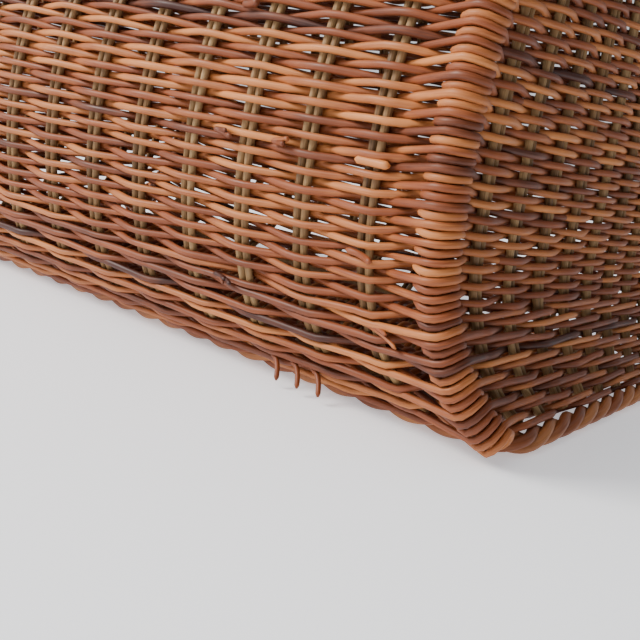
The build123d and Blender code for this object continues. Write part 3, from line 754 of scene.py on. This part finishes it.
def bow_line(start, step):
    """The handle's line from one end to the other, in the plane over the lid's middle."""
    turn = np.linspace(0, math.pi / 2, 9)
    bend_x, bend_z = foot_x - HANDLE_BEND, handle_top - HANDLE_BEND
    right = [(bend_x + HANDLE_BEND * math.cos(a), 0, bend_z + HANDLE_BEND * math.sin(a)) for a in turn]
    right.insert(0, (foot_x, 0, start))
    return through(right + [(-x, y, z) for x, y, z in reversed(right)], step)


bow_path = bow_line(bow_low.z, 4 * MM)
bow_radius = blunt(0.98 * HANDLE_RADIUS, len(bow_path), 1)
bow_rods = [{"path": bow_path, "radius": bow_radius, "tone": 0.35, "up": (0, 1, 0)}]
bow = rods_mesh("bow_rod", bow_rods, border_willow, 16)
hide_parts("handle_bow")
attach(bow, "lid")

SKEIN = 1.2 * MM
grip = bow_line(grip_low.z, 0.45 * MM)
ahead = np.gradient(grip, axis=0)
ahead /= np.linalg.norm(ahead, axis=1)[:, None]
across = np.cross(ahead, (0, 1, 0))
length = np.concatenate([[0], np.cumsum(np.linalg.norm(np.diff(grip, axis=0), axis=1))])
angle = 2 * math.pi * length / (2 * SKEIN)
wound = grip + (HANDLE_RADIUS + 0.45 * MM) * (across * np.cos(angle)[:, None] + np.outer(np.sin(angle), (0, 1, 0)))
binding = rods_mesh("grip_skein", [{"path": wound, "radius": 0.95 * SKEIN, "tone": 0.72}], weaver_willow, 6)
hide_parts("handle_binding")
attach(binding, "lid")

peg_low, peg_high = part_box("handle_pegs")
peg_z, peg_radius = (peg_low.z + peg_high.z) / 2, (peg_high.z - peg_low.z) / 2
peg_rods = [{"path": through([(x, peg_low.y, peg_z), (x, 0, peg_z), (x, peg_high.y, peg_z)], 4 * MM),
             "radius": 0.97 * peg_radius, "tone": 0.4} for x in (-foot_x, foot_x)]
pegs = rods_mesh("peg_rods", peg_rods, border_willow, 10)
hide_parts("handle_pegs")
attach(pegs, "lid")

# %% [markdown]
# ## Light, floor and camera
# The basket stands on a pale surface in daylight that comes from the front and the left, so that the right-hand
# end falls into shade. The camera looks up close at the lower right-hand part of the front wall.

# %% Stage
floor_mesh = bpy.data.meshes.new("floor")
FLOOR = 3.0
floor_corners = [(-FLOOR, -FLOOR, 0), (FLOOR, -FLOOR, 0), (FLOOR, FLOOR, 0), (-FLOOR, FLOOR, 0)]
floor_mesh.from_pydata(floor_corners, [], [(0, 1, 2, 3)])
floor = bpy.data.objects.new("floor", floor_mesh)
bpy.context.scene.collection.objects.link(floor)
floor_paint = bpy.data.materials.new("pale floor")
floor_paint.use_nodes = True
floor_paint.node_tree.nodes["Principled BSDF"].inputs["Base Color"].default_value = (0.90, 0.91, 0.93, 1)
floor_paint.node_tree.nodes["Principled BSDF"].inputs["Roughness"].default_value = 0.6
floor_paint.node_tree.nodes["Principled BSDF"].inputs["Emission Color"].default_value = (0.93, 0.95, 1.0, 1)
floor_paint.node_tree.nodes["Principled BSDF"].inputs["Emission Strength"].default_value = 0.5
floor_mesh.materials.append(floor_paint)

world = bpy.data.worlds.new("daylight")
bpy.context.scene.world = world
world.use_nodes = True
world.node_tree.nodes["Background"].inputs["Color"].default_value = (0.93, 0.96, 1.0, 1)
sky = world.node_tree.nodes
across_room = sky.new("ShaderNodeMapRange")
for socket, value in (("From Min", -1.0), ("From Max", 1.0), ("To Min", 1.1), ("To Max", 0.1)):
    across_room.inputs[socket].default_value = value
split_way = sky.new("ShaderNodeSeparateXYZ")
world.node_tree.links.new(sky.new("ShaderNodeTexCoord").outputs["Generated"], split_way.inputs["Vector"])
world.node_tree.links.new(split_way.outputs["X"], across_room.inputs["Value"])
world.node_tree.links.new(across_room.outputs["Result"], sky["Background"].inputs["Strength"])


def area_light(name, place_at, target, size, power, colour):
    """A soft square light that faces its target."""
    light = bpy.data.lights.new(name, "AREA")
    light.size, light.energy, light.color = size, power, colour
    lamp = bpy.data.objects.new(name, light)
    bpy.context.scene.collection.objects.link(lamp)
    lamp.location = place_at
    lamp.rotation_euler = (Vector(target) - Vector(place_at)).to_track_quat("-Z", "Y").to_euler()
    return lamp


MIDDLE = (0, 0, 0.1)
area_light("window", (-1.2, -1.4, 1.3), MIDDLE, 0.8, 66, (1.0, 0.97, 0.93))
area_light("room", (-0.2, -1.3, 1.7), MIDDLE, 1.6, 12, (1.0, 0.98, 0.95))

camera_data = bpy.data.cameras.new("camera")
camera_data.sensor_width = 36
camera_data.lens = 51.8
camera_data.clip_start = 0.01
camera = bpy.data.objects.new("camera", camera_data)
bpy.context.scene.collection.objects.link(camera)
camera.location = (0.3195, -0.382, 0.107)
camera.rotation_euler = Euler([math.radians(a) for a in (77.05, -10.2, 36.93)])
bpy.context.scene.camera = camera
